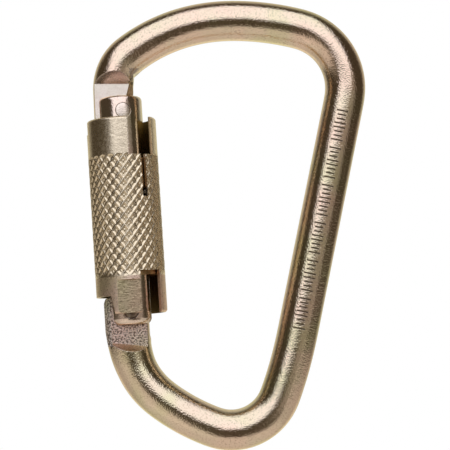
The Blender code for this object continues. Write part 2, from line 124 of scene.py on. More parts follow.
# ---------------------------------------------------------------- camera
VIEW_CENTRE = Vector((-0.00225, 0.0, -0.04665))
VIEW_DISTANCE = 0.45
VIEW_ELEVATION = math.radians(-4.75)
VIEW_WIDTH = 0.1125
cam_data = bpy.data.cameras.new("camera")
cam_data.sensor_width = 36.0
cam_data.lens = 36.0 * VIEW_DISTANCE / VIEW_WIDTH
cam_data.clip_start = 0.01
cam = bpy.data.objects.new("camera", cam_data)
away = Vector((0.0, -math.cos(VIEW_ELEVATION), math.sin(VIEW_ELEVATION)))
cam.location = VIEW_CENTRE + away * VIEW_DISTANCE
cam.rotation_euler = (-away).to_track_quat("-Z", "Y").to_euler()
bpy.context.scene.collection.objects.link(cam)
bpy.context.scene.camera = cam


# ---------------------------------------------------------------- mesh helpers
def add_object(name, bm, place=None):
    """Turn a bmesh in millimetres into an object in metres."""
    bmesh.ops.recalc_face_normals(bm, faces=bm.faces[:])
    bmesh.ops.scale(bm, vec=(MM, MM, MM), verts=bm.verts[:])
    if place is not None:
        bmesh.ops.transform(bm, matrix=place, verts=bm.verts[:])
    mesh = bpy.data.meshes.new(name)
    bm.to_mesh(mesh)
    bm.free()
    obj = bpy.data.objects.new(name, mesh)
    bpy.context.scene.collection.objects.link(obj)
    return obj


def loft(rings, closed=False):
    """Skin a list of equal point rings, capped at both ends unless it closes on itself."""
    bm = bmesh.new()
    loops = [[bm.verts.new(point) for point in ring] for ring in rings]
    count = len(loops[0])
    spans = list(zip(loops, loops[1:]))
    if closed:
        spans.append((loops[-1], loops[0]))
    for low, high in spans:
        for i in range(count):
            j = (i + 1) % count
            bm.faces.new((low[i], low[j], high[j], high[i]))
    if not closed:
        bm.faces.new(list(reversed(loops[0])))
        bm.faces.new(loops[-1])
    return bm


def tube(path, radii, sides):
    """Sweep a round section along a path, carrying the section without twist."""
    rings = []
    side = None
    for i, point in enumerate(path):
        ahead = path[min(i + 1, len(path) - 1)]
        behind = path[max(i - 1, 0)]
        tangent = (ahead - behind).normalized()
        if side is None:
            side = Vector((0, 1, 0)) if abs(tangent.y) < 0.9 else Vector((1, 0, 0))
        side = (side - tangent * side.dot(tangent)).normalized()
        other = tangent.cross(side)
        radius = radii[i] if isinstance(radii, list) else radii
        ring = []
        for k in range(sides):
            a = 2 * math.pi * k / sides
            ring.append(point + side * (radius * math.cos(a)) + other * (radius * math.sin(a)))
        rings.append(ring)
    return loft(rings)


def turned(profile, segments, solid=False):
    """Turn stations of (radius, z) about Z: a ring, or a capped solid."""
    if solid:
        rings = []
        for r, z in profile:
            steps = [2 * math.pi * k / segments for k in range(segments)]
            rings.append([Vector((r * math.cos(a), r * math.sin(a), z)) for a in steps])
        return loft(rings)
    rings = []
    for k in range(segments):
        a = 2 * math.pi * k / segments
        rings.append([Vector((r * math.cos(a), r * math.sin(a), z)) for r, z in profile])
    return loft(rings, closed=True)


def prism(outline, low, high, axis="Y"):
    """Extrude a flat outline: (x, z) points along Y, or (y, z) points along X."""
    rings = []
    for level in (low, high):
        if axis == "Y":
            rings.append([Vector((a, level, b)) for a, b in outline])
        else:
            rings.append([Vector((level, a, b)) for a, b in outline])
    return loft(rings)


def box(low, high):
    """A box between two corners."""
    outline = [(low[0], low[2]), (high[0], low[2]), (high[0], high[2]), (low[0], high[2])]
    return prism(outline, low[1], high[1])


def disc(radius, x, z, low, high, segments=48):
    """A cylinder along Y."""
    outline = []
    for k in range(segments):
        a = 2 * math.pi * k / segments
        outline.append((x + radius * math.cos(a), z + radius * math.sin(a)))
    return prism(outline, low, high)


def spun(bm, angle):
    """Turn a bmesh about Z, from the front towards +X."""
    bmesh.ops.transform(bm, matrix=Matrix.Rotation(math.radians(angle), 4, "Z"), verts=bm.verts[:])
    return bm


def join(*parts):
    """Put separate closed shapes into one bmesh."""
    out = bmesh.new()
    for part in parts:
        mesh = bpy.data.meshes.new("part")
        part.to_mesh(mesh)
        part.free()
        out.from_mesh(mesh)
        bpy.data.meshes.remove(mesh)
    return out


def carve(obj, bm, operation="DIFFERENCE", place=GATE_FRAME):
    """Apply one Boolean to an object; the tool is given in the gate's frame."""
    tool = add_object("tool", bm, place)
    mod = obj.modifiers.new("cut", "BOOLEAN")
    mod.operation = operation
    mod.solver = "EXACT"
    mod.object = tool
    bpy.context.view_layer.update()
    graph = bpy.context.evaluated_depsgraph_get()
    mesh = bpy.data.meshes.new_from_object(obj.evaluated_get(graph))
    obj.modifiers.clear()
    obj.data = mesh
    bpy.data.objects.remove(tool, do_unlink=True)


def polar(radius, angle):
    """A point (x, z) at an angle in degrees from +Z towards +X."""
    a = math.radians(angle)
    return radius * math.sin(a), radius * math.cos(a)


def dress(obj, body, nodes, mats, angle=32.0):
    """Shade a finished piece, give it its materials and hang it on its body."""
    obj.data.shade_smooth()
    obj.data.set_sharp_from_angle(angle=math.radians(angle))
    obj.data.materials.clear()
    for mat in mats:
        obj.data.materials.append(mat)
    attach(obj, body)
    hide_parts(*nodes)
    return obj


def paint(obj, rule):
    """Pick each face's material by a rule on its centre and normal.

    The rule gets the centre and normal in the gate's frame, then the centre in the part's
    frame, in millimetres.
    """
    inverse = GATE_FRAME.inverted()
    turn = inverse.to_3x3()
    for face in obj.data.polygons:
        face.material_index = rule(inverse @ face.center / MM, turn @ face.normal, face.center / MM)


# ---------------------------------------------------------------- materials
class Metal:
    """A plated steel built node by node: colour, roughness and a chain of bumps."""

    def __init__(self, name):
        self.mat = bpy.data.materials.new(name)
        self.mat.use_nodes = True
        self.nodes = self.mat.node_tree.nodes
        self.links = self.mat.node_tree.links
        self.shader = self.nodes["Principled BSDF"]
        self.shader.inputs["Metallic"].default_value = 1.0
        # The colour that grazing reflections take.
        self.shader.inputs["Specular Tint"].default_value = (0.92, 0.88, 0.66, 1.0)
        coord = self.nodes.new("ShaderNodeTexCoord")
        place = self.nodes.new("ShaderNodeMapping")
        inverse = GATE_FRAME.inverted()
        place.inputs["Location"].default_value = inverse.translation / MM
        place.inputs["Rotation"].default_value = inverse.to_euler()
        place.inputs["Scale"].default_value = (1 / MM, 1 / MM, 1 / MM)
        self.links.new(coord.outputs["Object"], place.inputs["Vector"])
        self.where = place.outputs["Vector"]
        self.normal = None

    def noise(self, per_mm, detail=2.0, roughness=0.5, stretch=(1, 1, 1)):
        """Noise in the gate's frame, with features of about 1 / per_mm millimetres."""
        scale = self.nodes.new("ShaderNodeVectorMath")
        scale.operation = "MULTIPLY"
        scale.inputs[1].default_value = [per_mm * s for s in stretch]
        self.links.new(self.where, scale.inputs[0])
        node = self.nodes.new("ShaderNodeTexNoise")
        node.inputs["Scale"].default_value = 1.0
        node.inputs["Detail"].default_value = detail
        node.inputs["Roughness"].default_value = roughness
        self.links.new(scale.outputs["Vector"], node.inputs["Vector"])
        return node.outputs["Fac"]

    def ramp(self, source, stops):
        """Colours between stops of (place, colour)."""
        node = self.nodes.new("ShaderNodeValToRGB")
        while len(node.color_ramp.elements) < len(stops):
            node.color_ramp.elements.new(0.5)
        for element, (place, colour) in zip(node.color_ramp.elements, stops):
            element.position = place
            element.color = (*colour, 1.0)
        self.links.new(source, node.inputs["Fac"])
        return node.outputs["Color"]

    def span(self, source, low, high, to_low, to_high):
        """Map a number from one range to another, clamped."""
        node = self.nodes.new("ShaderNodeMapRange")
        node.inputs["From Min"].default_value = low
        node.inputs["From Max"].default_value = high
        node.inputs["To Min"].default_value = to_low
        node.inputs["To Max"].default_value = to_high
        self.links.new(source, node.inputs["Value"])
        return node.outputs["Result"]

    def sum(self, a, b):
        """Add two numbers."""
        node = self.nodes.new("ShaderNodeMath")
        node.operation = "ADD"
        self.links.new(a, node.inputs[0])
        self.links.new(b, node.inputs[1])
        return node.outputs["Value"]

    def multiply(self, a, b, share):
        """Multiply one colour by another, by a share."""
        mix = self.nodes.new("ShaderNodeMix")
        mix.data_type = "RGBA"
        mix.blend_type = "MULTIPLY"
        mix.inputs["Factor"].default_value = share
        self.links.new(a, mix.inputs["A"])
        self.links.new(b, mix.inputs["B"])
        return mix.outputs["Result"]

    def radius(self):
        """Distance from the gate's axis, in millimetres."""
        flat = self.nodes.new("ShaderNodeVectorMath")
        flat.operation = "MULTIPLY"
        flat.inputs[1].default_value = (1, 1, 0)
        self.links.new(self.where, flat.inputs[0])
        size = self.nodes.new("ShaderNodeVectorMath")
        size.operation = "LENGTH"
        self.links.new(flat.outputs["Vector"], size.inputs[0])
        return size.outputs["Value"]

    def colour(self, base, specks):
        """Base colour drifting slowly from green to pink, with small dark specks."""
        green, plain, pink = (0.94, 1.0, 0.88), (1.0, 0.985, 0.98), (1.05, 0.96, 0.99)
        stops = []
        for place, tint in ((0.36, green), (0.50, plain), (0.64, pink)):
            stops.append((place, tuple(c * t for c, t in zip(base, tint))))
        tint = self.ramp(self.noise(0.09), stops)
        dark = self.ramp(self.noise(2.6, 2.0, 0.6), [(0.34, (0.55, 0.52, 0.48)), (0.48, (1, 1, 1))])
        result = self.multiply(tint, dark, specks)
        self.links.new(result, self.shader.inputs["Base Color"])
        return result

    def rough(self, level, spread, per_mm=0.9):
        """Roughness that wanders about a level."""
        value = self.span(self.noise(per_mm, 3.0, 0.6), 0.3, 0.7, level - spread, level + spread)
        self.links.new(value, self.shader.inputs["Roughness"])

    def soften(self, width):
        """Rounded-looking edges, in millimetres."""
        node = self.nodes.new("ShaderNodeBevel")
        node.samples = 4
        node.inputs["Radius"].default_value = width * MM
        self.normal = node.outputs["Normal"]

    def bump(self, source, depth):
        """Add a height field of so many millimetres to the chain."""
        node = self.nodes.new("ShaderNodeBump")
        node.inputs["Distance"].default_value = depth * MM
        self.links.new(source, node.inputs["Height"])
        if self.normal is not None:
            self.links.new(self.normal, node.inputs["Normal"])
        self.normal = node.outputs["Normal"]

    def done(self):
        """Connect the bumps and hand over the material."""
        self.links.new(self.normal, self.shader.inputs["Normal"])
        return self.mat


def plated(name, base, rough, grain, specks=0.45, edge=0.12):
    """Forged and plated bar or turned part: satin, finely grained."""
    metal = Metal(name)
    metal.colour(base, specks)
    metal.rough(rough, 0.03)
    metal.soften(edge)
    metal.bump(metal.noise(0.25), 0.03 * grain)
    metal.bump(metal.noise(1.0, 2.0, 0.5), 0.016 * grain)
    metal.bump(metal.noise(2.8, 1.0, 0.5), 0.056 * grain)
    return metal.done()


def milled(name, base, rough, depth, stretch, specks=0.25, edge=0.15):
    """Machined flat with fine cutter lines along one direction."""
    metal = Metal(name)
    metal.colour(base, specks)
    metal.rough(rough, 0.06)
    metal.soften(edge)
    metal.bump(metal.noise(5.0, 2.0, 0.6, stretch), depth)
    metal.bump(metal.noise(1.5, 2.0, 0.6), depth * 0.6)
    return metal.done()


def pebbled(name, base, rough):
    """Blasted and plated flat: bright grains with dark pits between them."""
    metal = Metal(name)
    grains = metal.noise(2.2, 2.0, 0.6)
    pits = metal.ramp(grains, [(0.42, (0.10, 0.07, 0.05)), (0.53, (1, 1, 1))])
    tint = metal.colour(base, 0.4)
    metal.links.new(metal.multiply(tint, pits, 0.85), metal.shader.inputs["Base Color"])
    metal.rough(rough, 0.08, 2.3)
    metal.soften(0.2)
    metal.bump(grains, 0.32)
    metal.bump(metal.noise(4.6, 2.0, 0.5), 0.05)
    return metal.done()


def sleeve_metal():
    """Plated knurl: worn bright crests, dull pits, and painted shade darkening the bore."""
    metal = Metal("sleeve_plated_steel")
    inside, outside = 7.55, 8.8
    radius = metal.span(metal.radius(), inside, outside, 0.0, 1.0)

    def place(r):
        """Where a radius lies on the ramp."""
        return (r - inside) / (outside - inside)

    crest_wear_and_bore_shade = metal.ramp(
        radius,
        [
            # The two innermost stops are painted shade: the bore and the inner part of each cut face
            # turn dark brown.
            (place(7.67), (0.30, 0.22, 0.10)),
            (place(7.74), (0.38, 0.29, 0.19)),
            (place(8.15), (0.84, 0.69, 0.50)),
            (place(8.44), (0.82, 0.67, 0.48)),
            (place(8.47), (0.82, 0.65, 0.43)),
            (place(8.60), (1.0, 0.81, 0.56)),
            (place(8.69), (0.94, 0.76, 0.54)),
            (place(8.745), (0.99, 0.87, 0.66)),
        ],
    )
    flecks = metal.noise(3.2, 3.0, 0.7, (1, 1, 1.6))
    dark = metal.ramp(flecks, [(0.38, (0.6, 0.55, 0.48)), (0.56, (1, 1, 1))])
    metal.links.new(metal.multiply(crest_wear_and_bore_shade, dark, 0.3), metal.shader.inputs["Base Color"])
    wear = metal.span(metal.radius(), 8.45, 8.75, 0.10, -0.06)
    grit = metal.span(metal.noise(1.4, 3.0, 0.6), 0.3, 0.7, 0.22, 0.38)
    metal.links.new(metal.sum(wear, grit), metal.shader.inputs["Roughness"])
    metal.soften(0.06)
    metal.bump(metal.noise(1.0, 2.0, 0.5), 0.04)
    metal.bump(metal.noise(2.6, 2.0, 0.6, (0.6, 0.6, 1.6)), 0.022)
    return metal.done()


BAR = plated("bar_plated_steel", (0.86, 0.69, 0.50), rough=0.11, grain=1.0)
GATE = plated("gate_plated_steel", (0.90, 0.75, 0.59), rough=0.14, grain=0.45, specks=0.3)
PIN = plated("pin_plated_steel", (0.99, 0.85, 0.69), rough=0.26, grain=0.3, specks=0.2)
BRONZE = plated("bush_bronze", (0.50, 0.31, 0.16), rough=0.38, grain=0.4, specks=0.5)
SPRING = plated("spring_steel", (0.60, 0.57, 0.52), rough=0.22, grain=0.2, specks=0.3, edge=0.05)
INNER = plated("inner_steel", (0.45, 0.43, 0.40), rough=0.3, grain=0.4, specks=0.4)
MARK = plated("engraved_steel", (0.16, 0.11, 0.07), rough=0.5, grain=0.6, specks=0.5, edge=0.03)
# The hinge rivet's end is coloured dark as painted shade for its recess under the sleeve's tab.
HINGE_END_SHADED = plated("hinge_painted_shade_steel", (0.52, 0.41, 0.29), rough=0.3, grain=0.4)
# Cutter lines run where the noise is stretched.
ALONG_X = (0.15, 1.0, 1.0)
ALONG_Z = (1.0, 1.0, 0.2)
NOSE_FACE = milled("nose_milled_steel", (1.0, 0.88, 0.73), 0.36, 0.02, ALONG_X)
# The two run-outs share one milled finish; the nose copy, whose slope faces down, is darker as painted
# shade, the upward-facing tang copy lighter.
RUNOUT = milled("runout_milled_steel", (0.52, 0.42, 0.34), 0.24, 0.012, ALONG_Z, 0.1, 0.4)
TANG_RUNOUT = milled(
    "tang_runout_milled_steel", (0.74, 0.60, 0.48), 0.24, 0.012, ALONG_Z, 0.1, 0.4
)
TAB_FACE = milled("tab_milled_steel", (0.52, 0.405, 0.25), 0.3, 0.13, (0.12, 1.0, 0.9), 0.8)
TAB_BAND = milled("tab_plated_steel", (0.96, 0.73, 0.55), 0.42, 0.06, (0.15, 0.15, 1.0), 0.8)
TANG_FACE = pebbled("tang_blasted_steel", (0.95, 0.74, 0.60), 0.4)
TANG_EDGE = pebbled("tang_edge_steel", (1.0, 0.88, 0.74), 0.6)
SLEEVE = sleeve_metal()


# ---------------------------------------------------------------- frame bar
def arc_path(start, heading, pieces, step):
    """Follow straights and arcs; headings turn clockwise from +Z in the XZ plane."""
    points = [Vector((start[0], 0, start[1]))]
    corners = []
    x, z = start
    h = math.radians(heading)
    for kind, size, turn in pieces:
        if kind == "line":
            n = max(1, round(size / step))
            for i in range(1, n + 1):
                d = size * i / n
                points.append(Vector((x + d * math.sin(h), 0, z + d * math.cos(h))))
            x += size * math.sin(h)
            z += size * math.cos(h)
        else:
            t = math.radians(turn)
            r = size if t > 0 else -size
            cx = x + r * math.cos(h)
            cz = z - r * math.sin(h)
            n = max(6, round(abs(size * t) / step), round(abs(turn) / 2.5))
            for i in range(1, n + 1):
                b = h + t * i / n
                points.append(Vector((cx - r * math.cos(b), 0, cz + r * math.sin(b))))
            h += t
            x = cx - r * math.cos(h)
            z = cz + r * math.sin(h)
        corners.append((Vector((x, 0, z)), h))
    return points, corners


def eased(points, passes):
    """Blend the joints between arcs, keeping both ends."""
    for _ in range(passes):
        inner = [(a + b * 2 + c) / 4 for a, b, c in zip(points, points[1:], points[2:])]
        points = [points[0]] + inner + [points[-1]]
    return points


# Millimetres between sections of the bar, and sections over which its ends swell.
STEP = 0.9
SWELL = 10
nose_path, _ = arc_path(BOW_TOP, 270.0, TO_NOSE, STEP)
hinge_path, corners = arc_path(BOW_TOP, 90.0, TO_HINGE, STEP)
centreline = eased(list(reversed(nose_path)) + hinge_path[1:], 6)
radii = [BAR_R] * len(centreline)
for i in range(SWELL):
    radii[i] = NOSE_BAR_R + (BAR_R - NOSE_BAR_R) * i / SWELL
    radii[-1 - i] = TANG_END_R + (BAR_R - TANG_END_R) * i / SWELL
bar = add_object("bar", tube(centreline, radii, 72))


def tang_outline():
    """Side outline of the tang about the hinge pin: back, cam for the plunger, heel."""
    outline = [(-9.0, -8.0), (7.0, -8.0), (7.0, 0.0), (5.4, 1.6)]
    for i in range(29):
        phi = 46.0 - 76.0 * i / 28
        outline.append(polar(CAM_R + min(max(phi / SWING, 0.0), 1.1), phi))
    for i in range(1, 11):
        outline.append(polar(CAM_R + (HEEL_R - CAM_R) * i / 10, -30.0 - 32.0 * i / 10))
    outline.append(polar(HEEL_R, -67.5))
    outline.append(polar(HEEL_R, -73.0))
    outline.append((-9.0, 2.1))
    return outline


def flat_cutter(sign, half, edge, tilt, run, slope_y, far):
    """Waste beside one milled flat, from its far end to its run-out.

    The flat ends at edge, tilted across x, and slopes out to slope_y over a length of run.
    """
    rings = []
    for x in (-9.0, 7.0):
        z = edge + tilt * x
        outline = [(half, far), (half, z), (slope_y, z + run), (9.0, z + run), (9.0, far)]
        rings.append([Vector((x, sign * y, level)) for y, level in outline])
    return loft(rings)


def tang_round_cutter(sign):
    """Waste outside the rounded outboard edge of the tang, fading out below the flats."""
    edge = []
    for i in range(8):
        a = math.radians(25.0 + 8.0 * i)
        edge.append((-3.95 - 3.1 * math.sin(a), 3.1 * math.cos(a)))
    rings = []
    for z, out in ((8.0, 0.0), (TANG_FLAT_Z, 0.0), (TANG_FLAT_Z - 3.5, 1.1)):
        outline = [(x - out, y + out) for x, y in edge]
        outline += [(-12.0, edge[-1][1] + out), (-12.0, 9.0), (edge[0][0] - out, 9.0)]
        rings.append([Vector((x, sign * y, z)) for x, y in outline])
    return loft(rings)


def bevel_cutter():
    """Waste beyond the two 45-degree bevels between the nose flats and the inboard face."""
    rings = []
    for z in (53.1, 57.6):
        x = 2.75 + 0.31 * (z - NOSE_FLAT_Z)
        outline = [(x - 0.5, 2.5), (x + 2.0, 0.0), (x - 0.5, -2.5), (9.0, -2.5), (9.0, 2.5)]
        rings.append([Vector((px, py, z)) for px, py in outline])
    return loft(rings)


tang_bm = turned([(TANG_BAR_R, -7.9), (TANG_BAR_R, 7.0)], 80, solid=True)
bmesh.ops.translate(tang_bm, vec=(-1.4, 0, 0), verts=tang_bm.verts[:])
tang = add_object("tang", tang_bm, GATE_FRAME)
carve(tang, prism(tang_outline(), -8.0, 8.0), "INTERSECT")
tang_bm = bmesh.new()
tang_bm.from_mesh(tang.data)
bpy.data.objects.remove(tang, do_unlink=True)
bmesh.ops.scale(tang_bm, vec=(1 / MM, 1 / MM, 1 / MM), verts=tang_bm.verts[:])
carve(bar, tang_bm, "UNION", None)
# Both blades' flats and the tang's rounded edge, then the tang's two side faces and its bore.
for sign in (-1, 1):
    tang_waste = flat_cutter(
        sign, TANG_HALF, edge=TANG_FLAT_Z, tilt=-0.16, run=-2.2, slope_y=5.7, far=9.0
    )
    nose_waste = flat_cutter(
        sign, HOOK_HALF, edge=NOSE_FLAT_Z, tilt=-0.065, run=3.15, slope_y=5.35, far=40.0
    )
    carve(bar, tang_waste)
    carve(bar, nose_waste)
    carve(bar, tang_round_cutter(sign))
carve(bar, prism([(3.98, 7.0), (3.98, -6.0), (4.8, -8.8), (8.0, -8.8), (8.0, 7.0)], -6, 6))
carve(bar, prism([(-9.0, -4.0), (-7.05, -4.0), (-6.5, -8.05), (-9.0, -8.05)], -7, 7))
carve(bar, disc(TANG_BORE_R, 0, 0, -8, 8))
# The hook: its notch for the latch pin, its inboard face with bevels, and its cut-back tip.
notch = []
for i in range(21):
    x, z = polar(NOTCH_R, -9.0 * i)
    notch.append((PIN_X + x, PIN_Z + z))
notch += [(8.0, PIN_Z - 2.24), (8.0, PIN_Z + 2.62)]
carve(bar, prism(notch, -6, 6))
inboard = [(2.75, HOOK_TIP_Z - 0.5), (3.92, 59.25), (6.9, 60.8), (9.0, 60.8)]
inboard.append((9.0, HOOK_TIP_Z - 0.5))
carve(bar, prism(inboard, -7, 7))
carve(bar, bevel_cutter())
tip = [(1.6, HOOK_TIP_Z - 2.0), (8.0, HOOK_TIP_Z - 2.0)]
tip += [(8.0, HOOK_TIP_Z + 1.4), (2.8, HOOK_TIP_Z + 1.0)]
carve(bar, prism(tip, -6, 6))

# Shallow engraved tally strokes down the front of the spine, in groups.
spine_top, spine_heading = corners[1]
down = Vector((math.sin(spine_heading), 0, math.cos(spine_heading)))
across = Vector((down.z, 0, -down.x))
STROKES = 53
STROKE_GROUP = 9
TALL_IN_GROUP = (0, 3, 4, 7)
STROKE_FROM = 3.6
STROKE_STEP = 1.06
STROKE_DEPTH = 0.14
STROKE_WIDTH = 0.36
STROKE_TALL = 2.9
STROKE_SHORT = 2.1


def stroke(along, height):
    """One engraved stroke: a shallow block following the bar's round front."""
    rings = []
    for k in range(7):
        side = height * (k / 6 - 0.5)
        floor = math.sqrt(BAR_R**2 - side**2) - STROKE_DEPTH
        base = spine_top + down * along + across * side
        ring = []
        for end, depth in ((-1, floor), (1, floor), (1, 7.0), (-1, 7.0)):
            ring.append(base + down * (end * STROKE_WIDTH / 2) + Vector((0, -depth, 0)))
        rings.append(ring)
    return loft(rings)


strokes = []
for i in range(STROKES):
    in_group = i % STROKE_GROUP
    if in_group == STROKE_GROUP - 1:
        continue
    height = STROKE_TALL if in_group in TALL_IN_GROUP else STROKE_SHORT
    strokes.append(stroke(STROKE_FROM + STROKE_STEP * i, height))
carve(bar, join(*strokes), place=None)


BAR_METALS = [BAR, NOSE_FACE, RUNOUT, TANG_FACE, MARK, TANG_EDGE, TANG_RUNOUT]
ON_BAR, ON_NOSE, ON_NOSE_RUNOUT, ON_TANG, ON_MARK, ON_TANG_EDGE, ON_TANG_RUNOUT = range(7)
NOSE_ZONE = (44.0, 60.6)
TANG_ZONE = (-12.0, 8.0)
ZONE_X = 6.0
MARK_LENGTH = 61.0


def bar_rule(at, normal, world):
    """Which of BAR_METALS a face of the bar has."""
    if NOSE_ZONE[0] < at.z < NOSE_ZONE[1] and at.x < ZONE_X:
        if abs(at.y) < HOOK_HALF + 0.02 and abs(normal.y) > 0.98:
            return ON_NOSE
        sloped = abs(normal.y) > 0.4 and normal.z < -0.35
        if sloped and at.z > NOSE_FLAT_Z - 0.5 and abs(at.y) < 5.0:
            return ON_NOSE_RUNOUT
        return ON_BAR
    if TANG_ZONE[0] < at.z < TANG_ZONE[1] and at.x < ZONE_X:
        if abs(normal.y) > 0.98 and abs(at.y) < TANG_HALF + 0.02:
            return ON_TANG
        sloped = abs(normal.y) > 0.4 and normal.z > 0.35
        if sloped and at.z < TANG_FLAT_Z + 1.6:
            return ON_TANG_RUNOUT
        if at.z > TANG_FLAT_Z and at.x < -3.8:
            return ON_TANG_EDGE
        return ON_BAR
    along = (world - spine_top).dot(down)
    off = world - spine_top - down * along
    if 0.0 < along < MARK_LENGTH and off.length < BAR_R - 0.045:
        return ON_MARK
    return ON_BAR


dress(bar, "frame", ["frame"], BAR_METALS)
paint(bar, bar_rule)

# ---------------------------------------------------------------- gate
gate_profile = [
    (4.3, GATE_Z[0]),
    (4.7, -3.1),
    (5.05, -2.75),
    (5.3, -2.3),
    (5.45, -1.95),
    (GATE_R, -1.7),
    (GATE_R, 52.75),
    (5.42, 53.2),
    (5.2, 53.55),
    (4.8, 53.78),
    (4.3, GATE_Z[1]),
]
gate = add_object("gate_body", turned(gate_profile, 96, solid=True), GATE_FRAME)
carve(
    gate,
    join(
        box((-7, -NOSE_SLOT_HALF, NOSE_SLOT_Z), (4.15, NOSE_SLOT_HALF, 60)),
        disc(HINGE_HOLE_R, 0, 0, -8, 8),
        # The holes for the torsion coil's leg and for the stop pin.
        spun(disc(0.62, 0, SPRING_Z[0], 4.3, 8.0, 16), 60.0),
        disc(0.9, 0, 14.4, 2.75, 8.0, 24),
    ),
)
tang_slot = box((-7, -TANG_SLOT_HALF, -9), (7, TANG_SLOT_HALF, TANG_SLOT_Z))
carve(gate, join(tang_slot, disc(LATCH_HOLE_R, PIN_X, PIN_Z, -8, 8)))
carve(gate, turned([(GATE_BORE_R, z) for z in GATE_BORE_Z], 40, solid=True))
dress(gate, "gate", ["gate"], [GATE])


# ---------------------------------------------------------------- pins
def rivet(radius, x, z, body_r, inset, dome):
    """A pin along Y whose ends follow a round body of a given radius, inset and domed."""
    rings = []
    steps = 7
    shares = [math.sin(math.pi / 2 * k / steps) for k in range(1, steps + 1)]
    stations = [(s, 1.0) for s in shares] + [(s, -1.0) for s in reversed(shares)]
    for share, side in stations:
        ring = []
        for k in range(48):
            a = 2 * math.pi * k / 48
            px = x + share * radius * math.cos(a)
            reach = math.sqrt(body_r**2 - px**2) - inset + dome * math.sqrt(1.0001 - share**2)
            ring.append(Vector((px, side * reach, z + share * radius * math.sin(a))))
        rings.append(ring)
    return loft(rings)


latch = add_object("latch_rivet", rivet(LATCH_R, PIN_X, PIN_Z, GATE_R, 0.12, 0.07), GATE_FRAME)
dress(latch, "gate", ["latch_pin"], [PIN], 50.0)
# The hinge rivet sits deeper and takes the dark painted-shade colour.
hinge = add_object("hinge_rivet", rivet(HINGE_R, 0.0, 0.0, GATE_R, 0.35, 0.1), GATE_FRAME)
dress(hinge, "gate", ["hinge_pin"], [HINGE_END_SHADED], 50.0)


# ---------------------------------------------------------------- locking sleeve
def ridge(phase):
    """Raised line of the knurl across one pitch, from 0 in the pit to 1 on the crest."""
    d = np.abs(phase - np.round(phase)) * 2
    return np.clip(1.0 - d / RIDGE_WIDTH, 0.0, 1.0)


# The knurl, as shares of its pitch and depth: the ridges that rise to the right stand higher,
# and each pit has a small dot.
RIDGE_WIDTH = 0.6
LOW_RIDGE = 0.85
DOT_SIZE = 0.26
DOT_HEIGHT = 0.6
# The knurl fades out over these heights, and the rims are rounded, in millimetres.
FADE_BELOW = 1.5
FADE_ABOVE = 0.5
RIM_HEIGHT = 0.6
RIM_DROP = 0.45
COLUMNS = 600
ROWS = 420
theta = np.linspace(0, 2 * np.pi, COLUMNS, endpoint=False)
height = np.linspace(SLEEVE_BOTTOM_Z, SLEEVE_TOP_Z, ROWS)
T, H = np.meshgrid(theta, height)
turn = T * KNURL_STARTS / (2 * np.pi)
rising = turn + H / KNURL_RISE[0]
falling = turn - H / KNURL_RISE[1]
crest = np.maximum(LOW_RIDGE * ridge(rising), ridge(falling))
pit = np.abs(rising - np.floor(rising) - 0.5) + np.abs(falling - np.floor(falling) - 0.5)
dot = np.clip(1.0 - pit / DOT_SIZE, 0.0, 1.0)
relief = -KNURL_DEPTH * (1.0 - np.clip(crest + DOT_HEIGHT * dot, 0.0, 1.0))
inward = np.minimum((H - KNURL_Z[0]) / FADE_BELOW, (KNURL_Z[1] - H) / FADE_ABOVE)
edge = np.clip(inward, 0.0, 1.0)
radius = BAND_R + (SLEEVE_R - BAND_R) * edge + relief * edge
corner = np.minimum(H - SLEEVE_BOTTOM_Z, SLEEVE_TOP_Z - H)
radius -= RIM_DROP * np.clip(1.0 - corner / RIM_HEIGHT, 0.0, 1.0) ** 2
tab_flat = TAB_FLAT_Y / np.maximum(np.cos(T), 0.2)
in_flat = (H < TAB_FLAT_Z) & (np.abs(np.sin(T)) < 0.4) & (np.cos(T) > 0)
radius = np.where(in_flat, np.minimum(radius, tab_flat), radius)
outer = np.stack([radius * np.sin(T), -radius * np.cos(T), H], axis=-1)
bm = bmesh.new()
grid = [[bm.verts.new(outer[r, c]) for c in range(COLUMNS)] for r in range(ROWS)]
bore = []
for level in (SLEEVE_TOP_Z, SLEEVE_BOTTOM_Z):
    ring = []
    for angle in theta:
        x, y = SLEEVE_BORE_R * math.sin(angle), -SLEEVE_BORE_R * math.cos(angle)
        ring.append(bm.verts.new((x, y, level)))
    bore.append(ring)
loops = grid + bore
for low, high in zip(loops, loops[1:] + loops[:1]):
    for c in range(COLUMNS):
        n = (c + 1) % COLUMNS
        bm.faces.new((low[c], low[n], high[n], high[c]))
sleeve = add_object("knurled_sleeve", bm, GATE_FRAME)
carve(
    sleeve,
    join(
        spun(box((-TOP_SLOT_HALF, -12, TOP_SLOT_Z), (TOP_SLOT_HALF, -4, 52.0)), TOP_SLOT_ANGLE),
        spun(box((-LOW_SLOT_HALF, -12, -3), (LOW_SLOT_HALF, -4, LOW_SLOT_Z)), LOW_SLOT_ANGLE),
        # The step in the lower rim and the keyway in the upper one.
        prism([(-12, 4.0), (-4.65, 4.0), (-3.7, -1.2), (-12, -1.2)], -12, 12),
        box((-12, -KEYWAY_HALF, KEYWAY_Z), (-5, KEYWAY_HALF, 52)),
    ),
)
slit = box((-SLIT_HALF, -12, SLIT_Z), (SLIT_HALF, -4, TOP_SLOT_Z + 1))
carve(sleeve, spun(slit, SLIT_ANGLE))


SLEEVE_METALS = [SLEEVE, TAB_FACE, TAB_BAND]
ON_SLEEVE, ON_TAB_FLAT, ON_BAND = range(3)


def sleeve_rule(at, normal, _):
    """Which of SLEEVE_METALS a face has: the plain band is the outside below the knurl."""
    if abs(at.y + TAB_FLAT_Y) < 0.03 and at.z < TAB_FLAT_Z and normal.y < -0.98:
        return ON_TAB_FLAT
    if at.z < KNURL_Z[0] and math.hypot(at.x, at.y) > SLEEVE_BORE_R + 0.4:
        return ON_BAND
    return ON_SLEEVE


